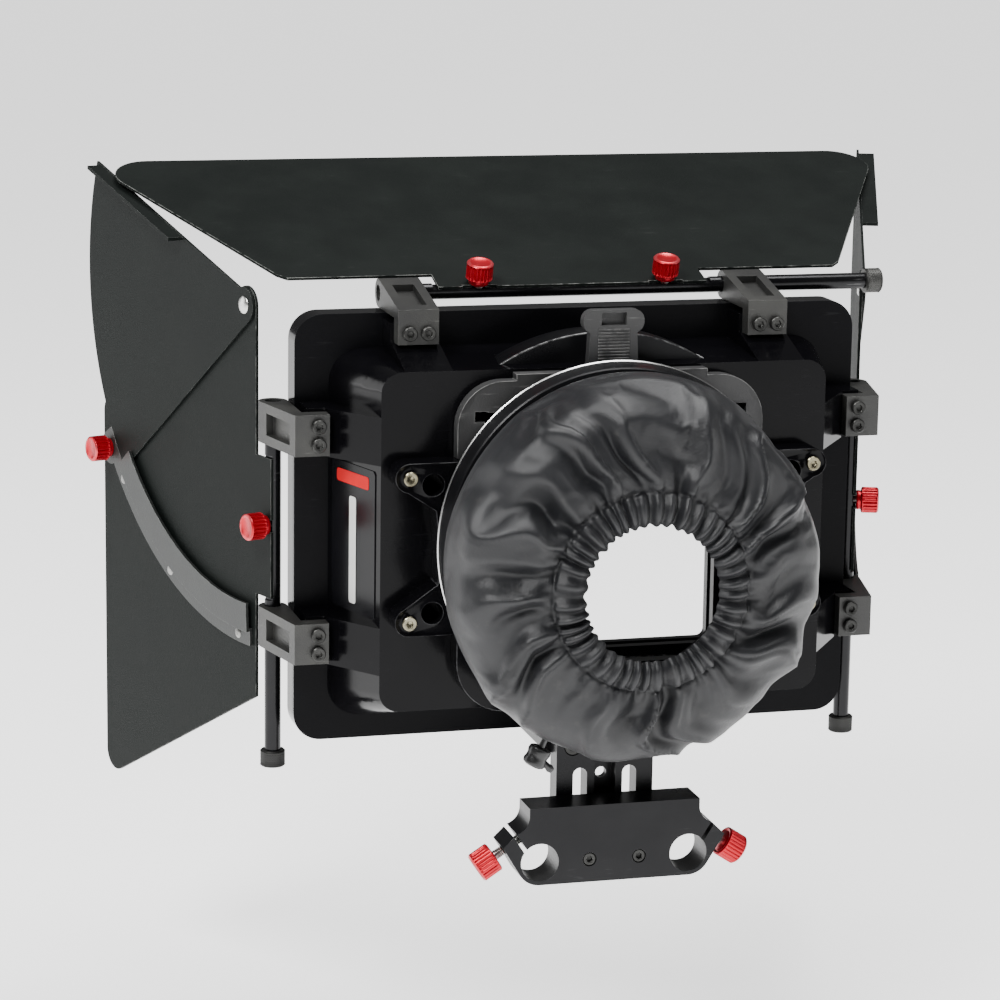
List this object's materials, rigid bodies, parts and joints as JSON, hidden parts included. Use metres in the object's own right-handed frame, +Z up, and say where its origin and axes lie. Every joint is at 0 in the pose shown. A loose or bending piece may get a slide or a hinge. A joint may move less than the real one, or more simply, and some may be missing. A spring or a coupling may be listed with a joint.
{
  "type": "camera matte box",
  "caption": "Rod-mounted matte box: tapered hood, rotating filter stage, lift-out filter tray, cloth lens donut, hinged top and side flags with folding fans.",
  "frame": {"origin": "midway between the two rod bores, on the rear face of the rod clamp", "axes": "+X right for the operator behind the box, +Y towards the scene, +Z up"},
  "size_m": [0.351, 0.2506, 0.26],
  "materials": {
    "moulded_black": "glossy moulded black, lightly scuffed",
    "stage_grey": "satin dark grey plastic",
    "anodised_black": "black anodised, satin",
    "anodised_red": "red anodised, polished rims",
    "bracket_grey": "dark grey satin, worn edges",
    "flag_black": "fine textured dark powder coat over aluminium sheet",
    "pin_black": "black polished rod",
    "screw_black": "blackened steel",
    "nut_steel": "bright steel",
    "screw_brass": "plated",
    "donut_cloth": "satin woven nylon",
    "elastic": "elastic cord and its stopper",
    "label_plate": "plain printed panel with no lettering"
  },
  "bodies": {
    "clamp": {"rod_clamp": "anodised_black", "clamp_slide_screws": "screw_black", "clamp_slide_nuts": "nut_steel"},
    "clamp_knob_left": {"clamp_knob_left": "anodised_red"},
    "clamp_knob_right": {"clamp_knob_right": "anodised_red"},
    "housing": {"height_plate": "anodised_black", "height_plate_screws": "screw_black", "rear_housing": "moulded_black", "front_hood": "moulded_black", "hood_screws": "screw_black", "stage_frame": "moulded_black", "stage_frame_screws": "screw_brass", "stage_retainer": "moulded_black", "retainer_screws": "screw_black", "bracket_left_upper": "bracket_grey", "bracket_left_lower": "bracket_grey", "bracket_right_upper": "bracket_grey", "bracket_right_lower": "bracket_grey", "bracket_top_left": "bracket_grey", "bracket_top_right": "bracket_grey", "bracket_screws": "screw_black", "side_label": "label_plate", "donut_ring": "anodised_black", "donut_accent_ring": "anodised_red", "donut_fabric": "donut_cloth", "donut_elastic": "elastic", "donut_cord_lock": "elastic"},
    "rotating_stage": {"rotating_stage": "anodised_black", "rotating_filter_frame": "anodised_black"},
    "rear_tray": {"filter_tray": "stage_grey", "tray_handle": "stage_grey"},
    "top_flag": {"top_flag": "flag_black", "top_hinge_pin": "pin_black"},
    "top_knob_left": {"top_knob_left": "anodised_red"},
    "top_knob_right": {"top_knob_right": "anodised_red"},
    "left_flag": {"left_flag": "flag_black", "left_hinge_pin": "pin_black", "left_arc_guide": "flag_black", "left_flag_rivets": "nut_steel"},
    "left_fan": {"left_fan": "flag_black"},
    "left_flag_knob": {"left_flag_knob": "anodised_red"},
    "left_fan_knob": {"left_fan_knob": "anodised_red"},
    "right_flag": {"right_flag": "flag_black", "right_hinge_pin": "pin_black", "right_arc_guide": "flag_black", "right_flag_rivets": "nut_steel"},
    "right_fan": {"right_fan": "flag_black"},
    "right_flag_knob": {"right_flag_knob": "anodised_red"},
    "right_fan_knob": {"right_fan_knob": "anodised_red"}
  },
  "joints": [
    {"name": "height_slide", "type": "slide", "parent": "clamp", "child": "housing", "axis": [0, 0, 1], "range_m": [-0.015, 0]},
    {"name": "stage_turn", "type": "hinge", "parent": "housing", "child": "rotating_stage", "pos_m": [0, 0.037, 0.124], "axis": [0, 1, 0], "continuous": true},
    {"name": "tray_lift", "type": "slide", "parent": "housing", "child": "rear_tray", "axis": [0, 0, 1], "range_m": [0, 0.13]},
    {"name": "top_flag_tilt", "type": "hinge", "parent": "housing", "child": "top_flag", "pos_m": [0, 0.0736, 0.2119], "axis": [1, 0, 0], "range_deg": [0, 75]},
    {"name": "left_flag_swing", "type": "hinge", "parent": "housing", "child": "left_flag", "pos_m": [-0.1199, 0.0736, 0.12], "axis": [0, 0, 1], "range_deg": [-35, 70]},
    {"name": "left_fan_fold", "type": "hinge", "parent": "left_flag", "child": "left_fan", "pos_m": [-0.12851, 0.08692, 0.2065], "axis": [-0.9455, -0.3256, 0], "range_deg": [0, 44]},
    {"name": "right_flag_swing", "type": "hinge", "parent": "housing", "child": "right_flag", "pos_m": [0.1199, 0.0736, 0.12], "axis": [0, 0, -1], "range_deg": [-35, 17]},
    {"name": "right_fan_fold", "type": "hinge", "parent": "right_flag", "child": "right_fan", "pos_m": [0.12851, 0.08692, 0.2065], "axis": [-0.9455, 0.3256, 0], "range_deg": [0, 44]},
    {"name": "clamp_knob_left_turn", "type": "hinge", "parent": "clamp", "child": "clamp_knob_left", "pos_m": [-0.03556, 0.0075, 0.00855], "axis": [-0.8387, 0, -0.5446], "continuous": true},
    {"name": "clamp_knob_right_turn", "type": "hinge", "parent": "clamp", "child": "clamp_knob_right", "pos_m": [0.03556, 0.0075, 0.00855], "axis": [0.8387, 0, -0.5446], "continuous": true},
    {"name": "top_knob_left_turn", "type": "hinge", "parent": "top_flag", "child": "top_knob_left", "pos_m": [-0.0382, 0.07272, 0.21487], "axis": [0, -0.284, 0.9588], "continuous": true},
    {"name": "top_knob_right_turn", "type": "hinge", "parent": "top_flag", "child": "top_knob_right", "pos_m": [0.0382, 0.07272, 0.21487], "axis": [0, -0.284, 0.9588], "continuous": true},
    {"name": "left_flag_knob_turn", "type": "hinge", "parent": "left_flag", "child": "left_flag_knob", "pos_m": [-0.12283, 0.07259, 0.1216], "axis": [-0.9455, -0.3256, 0], "continuous": true},
    {"name": "left_fan_knob_turn", "type": "hinge", "parent": "left_flag", "child": "left_fan_knob", "pos_m": [-0.16541, 0.19256, 0.131], "axis": [-0.9455, -0.3256, 0], "continuous": true},
    {"name": "right_flag_knob_turn", "type": "hinge", "parent": "right_flag", "child": "right_flag_knob", "pos_m": [0.12283, 0.07259, 0.1216], "axis": [0.9455, -0.3256, 0], "continuous": true},
    {"name": "right_fan_knob_turn", "type": "hinge", "parent": "right_flag", "child": "right_fan_knob", "pos_m": [0.16541, 0.19256, 0.131], "axis": [0.9455, -0.3256, 0], "continuous": true}
  ]
}
